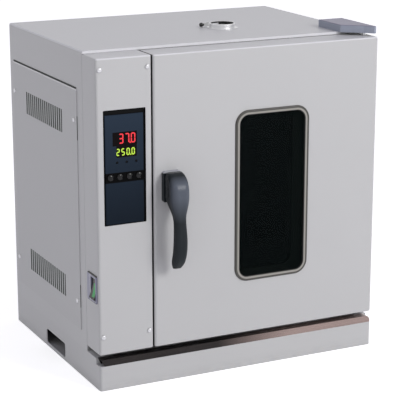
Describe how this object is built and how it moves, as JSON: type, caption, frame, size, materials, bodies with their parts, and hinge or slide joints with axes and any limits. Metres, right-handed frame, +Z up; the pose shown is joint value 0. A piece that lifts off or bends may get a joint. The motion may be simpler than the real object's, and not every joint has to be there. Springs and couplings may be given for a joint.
{
  "type": "dry heat sterilizer",
  "caption": "Bench-top dry heat sterilizer: fan oven with a glazed side-hinged door, lever latch, control column on the left, roof vent and plinth.",
  "frame": {"origin": "centre of the base's footprint, on the bench", "axes": "+X to the user's right, +Y to the back, +Z up"},
  "size_m": [0.6116, 0.521, 0.6635],
  "materials": {
    "case_paint": "light warm grey, fine satin powder coat",
    "hinge_paint": "mid blue-grey, satin",
    "stainless": "brushed, satin",
    "polished_strip": "polished",
    "bright_steel": "polished",
    "zinc_steel": "zinc plated, dull",
    "panel_navy": "smooth, satin",
    "black_plastic": "satin",
    "key_black": "glossy",
    "display_lens": "glossy, smoked",
    "display_module": "matt",
    "lamp_lens": "translucent, unlit",
    "circuit_board": "solder-masked",
    "switch_frame": "grey, satin",
    "rocker_green": "green, glossy",
    "handle_plastic": "charcoal, semi-gloss",
    "seal_rubber": "grey silicone, satin",
    "door_seal_rubber": "grey-brown silicone",
    "window_glass": "clear",
    "mineral_wool": "fibrous, matt",
    "motor_alloy": "cast, dull",
    "switch_white": "matt",
    "bush_brass": "turned"
  },
  "bodies": {
    "cabinet": {"base_plinth": "case_paint", "sill_strip": "polished_strip", "outer_wrap": "case_paint", "front_frame": "stainless", "service_panel": "case_paint", "back_panel": "case_paint", "panel_screws": "zinc_steel", "mains_inlet": "black_plastic", "control_fascia": "case_paint", "fascia_screws": "bright_steel", "panel_bezel": "black_plastic", "control_plate": "panel_navy", "display_window": "display_lens", "process_display": "display_module", "setpoint_display": "display_module", "indicator_lamps": "lamp_lens", "display_board": "circuit_board", "controller_case": "black_plastic", "switch_bezel": "switch_frame", "compartment_wall": "zinc_steel", "fan_motor": "motor_alloy", "heater_relay": "motor_alloy", "terminal_block": "switch_white", "limit_thermostat": "switch_white", "chamber_liner": "stainless", "chamber_insulation": "mineral_wool", "duct_plate": "stainless", "heater_element": "zinc_steel", "shelf_runners": "stainless", "lower_shelf": "bright_steel", "upper_shelf": "bright_steel", "temperature_probe": "bright_steel", "vent_collar": "bright_steel", "vent_grate": "black_plastic", "upper_hinge_bracket": "zinc_steel", "hinge_cover": "hinge_paint", "lower_hinge_bracket": "zinc_steel", "hinge_pins": "bright_steel", "latch_keeper": "zinc_steel"},
    "door": {"door_shell": "case_paint", "hinge_bushes": "bush_brass", "door_liner": "stainless", "window_tunnel": "stainless", "door_insulation": "mineral_wool", "window_gasket": "seal_rubber", "outer_glass": "window_glass", "inner_glass": "window_glass", "inner_window_frame": "stainless", "door_seal": "door_seal_rubber", "handle_rose": "handle_plastic"},
    "handle": {"door_handle": "handle_plastic", "latch_spindle": "zinc_steel"},
    "set_key_body": {"set_key": "key_black"},
    "shift_key_body": {"shift_key": "key_black"},
    "down_key_body": {"down_key": "key_black"},
    "up_key_body": {"up_key": "key_black"},
    "rocker": {"power_rocker": "rocker_green"},
    "shutter": {"vent_shutter": "bright_steel"},
    "fan": {"fan_impeller": "stainless"}
  },
  "joints": [
    {"name": "door_hinge", "type": "hinge", "parent": "cabinet", "child": "door", "pos_m": [0.2895, -0.199, 0.358], "axis": [0, 0, 1], "range_deg": [0, 120]},
    {"name": "handle_turn", "type": "hinge", "parent": "door", "child": "handle", "pos_m": [-0.153, -0.253, 0.3915], "axis": [0, -1, 0], "range_deg": [0, 90]},
    {"name": "set_key_press", "type": "slide", "parent": "cabinet", "child": "set_key_body", "axis": [0, 1, 0], "range_m": [0, 0.0015], "stiffness_N_per_m": 600},
    {"name": "shift_key_press", "type": "slide", "parent": "cabinet", "child": "shift_key_body", "axis": [0, 1, 0], "range_m": [0, 0.0015], "stiffness_N_per_m": 600},
    {"name": "down_key_press", "type": "slide", "parent": "cabinet", "child": "down_key_body", "axis": [0, 1, 0], "range_m": [0, 0.0015], "stiffness_N_per_m": 600},
    {"name": "up_key_press", "type": "slide", "parent": "cabinet", "child": "up_key_body", "axis": [0, 1, 0], "range_m": [0, 0.0015], "stiffness_N_per_m": 600},
    {"name": "rocker_tilt", "type": "hinge", "parent": "cabinet", "child": "rocker", "pos_m": [-0.3005, -0.20975, 0.2012], "axis": [0, -1, 0], "range_deg": [0, 18]},
    {"name": "shutter_turn", "type": "hinge", "parent": "cabinet", "child": "shutter", "pos_m": [0.0635, -0.02, 0.653], "axis": [0, 0, -1], "range_deg": [0, 60]},
    {"name": "fan_spin", "type": "hinge", "parent": "cabinet", "child": "fan", "pos_m": [-0.1175, 0.004, 0.35825], "axis": [1, 0, 0], "continuous": true}
  ]
}
